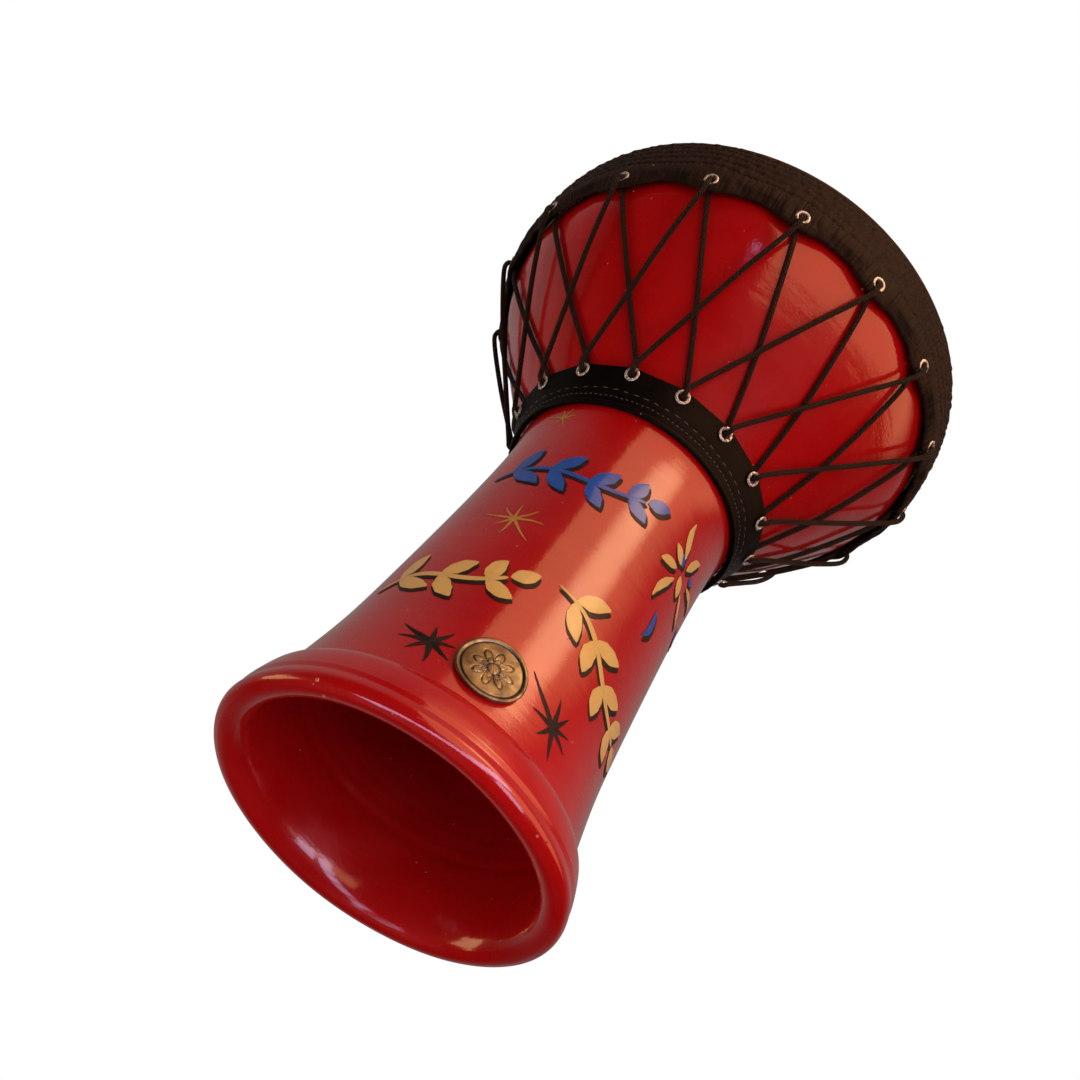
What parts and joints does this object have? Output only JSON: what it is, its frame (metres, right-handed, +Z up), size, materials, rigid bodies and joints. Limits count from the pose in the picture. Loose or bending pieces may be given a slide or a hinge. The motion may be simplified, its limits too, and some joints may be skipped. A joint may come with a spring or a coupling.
{
  "type": "goblet drum",
  "caption": "Goblet hand drum with a flared clay body, open foot, laced cloth skirt holding a round skin, stitched neck band and a small metal medallion.",
  "frame": {"origin": "centre of the flat underside of the open foot, where the drum stands", "axes": "+Z up the drum's axis from the foot to the head; -Y towards the front, where the medallion is; +X to the right seen from the front"},
  "size_m": [0.2995, 0.2995, 0.4305],
  "materials": {
    "red_painted_clay": "glossy red paint over fired clay, brushed decoration",
    "hide": "matt pale hide",
    "steel_wire": "dull steel wire",
    "skirt_cloth": "matt brown-black cloth with stitched rows",
    "band_leather": "satin black leather with dashed stitching",
    "braided_cord": "tight brown-black braid",
    "nickel": "nickel-plated, lightly worn",
    "aged_brass": "antique brass, dark in the recesses"
  },
  "bodies": {
    "root": {"clay_body": "red_painted_clay", "drum_skin": "hide", "skin_hoop": "steel_wire", "skirt": "skirt_cloth", "neck_band": "band_leather", "neck_band_piping": "band_leather", "lacing_cord_a": "braided_cord", "lacing_knot_a": "braided_cord", "lacing_cord_b": "braided_cord", "lacing_knot_b": "braided_cord", "medallion": "aged_brass", "skirt_eyelet_01": "nickel", "skirt_eyelet_02": "nickel", "skirt_eyelet_03": "nickel", "skirt_eyelet_04": "nickel", "skirt_eyelet_05": "nickel", "skirt_eyelet_06": "nickel", "skirt_eyelet_07": "nickel", "skirt_eyelet_08": "nickel", "skirt_eyelet_09": "nickel", "skirt_eyelet_10": "nickel", "skirt_eyelet_11": "nickel", "skirt_eyelet_12": "nickel", "skirt_eyelet_13": "nickel", "skirt_eyelet_14": "nickel", "skirt_eyelet_15": "nickel", "skirt_eyelet_16": "nickel", "band_eyelet_01": "nickel", "band_eyelet_02": "nickel", "band_eyelet_03": "nickel", "band_eyelet_04": "nickel", "band_eyelet_05": "nickel", "band_eyelet_06": "nickel", "band_eyelet_07": "nickel", "band_eyelet_08": "nickel", "band_eyelet_09": "nickel", "band_eyelet_10": "nickel", "band_eyelet_11": "nickel", "band_eyelet_12": "nickel", "band_eyelet_13": "nickel", "band_eyelet_14": "nickel", "band_eyelet_15": "nickel", "band_eyelet_16": "nickel"}
  },
  "joints": []
}
